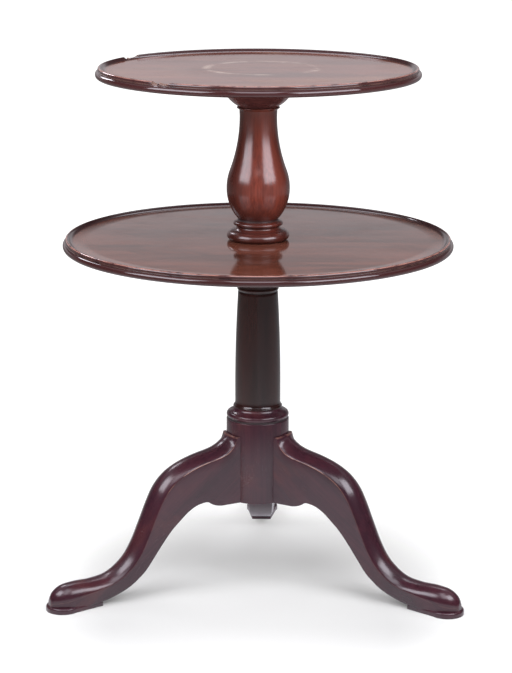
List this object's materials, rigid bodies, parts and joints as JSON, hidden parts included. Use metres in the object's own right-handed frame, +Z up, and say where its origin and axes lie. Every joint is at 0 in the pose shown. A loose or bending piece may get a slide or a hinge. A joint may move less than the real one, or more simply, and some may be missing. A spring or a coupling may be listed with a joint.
{
  "type": "tiered tripod table",
  "caption": "Side table of polished dark wood: dished round trays that turn on a turned stem, the smaller one above, on a pillar with carved scroll legs.",
  "frame": {"origin": "on the pillar's axis at floor level", "axes": "+Z up along the pillar, +Y towards the rear leg, +X to the right seen from the front"},
  "size_m": [0.6472, 0.6745, 0.8236],
  "materials": {
    "polished_wood": "polished dark red-brown",
    "strap_iron": "forged, blackened",
    "screw_steel": "dull"
  },
  "bodies": {
    "base": {"pillar": "polished_wood", "left_leg": "polished_wood", "right_leg": "polished_wood", "rear_leg": "polished_wood", "leg_brace": "strap_iron", "brace_screws": "screw_steel", "baluster": "polished_wood"},
    "lower_turntable": {"lower_tray": "polished_wood", "lower_block": "polished_wood", "lower_block_screws": "screw_steel"},
    "upper_turntable": {"upper_tray": "polished_wood", "upper_block": "polished_wood", "upper_block_screws": "screw_steel"}
  },
  "joints": [
    {"name": "lower_tray_turn", "type": "hinge", "parent": "base", "child": "lower_turntable", "pos_m": [0, 0, 0.52], "axis": [0, 0, 1], "continuous": true},
    {"name": "upper_tray_turn", "type": "hinge", "parent": "base", "child": "upper_turntable", "pos_m": [0, 0, 0.78], "axis": [0, 0, 1], "continuous": true}
  ]
}
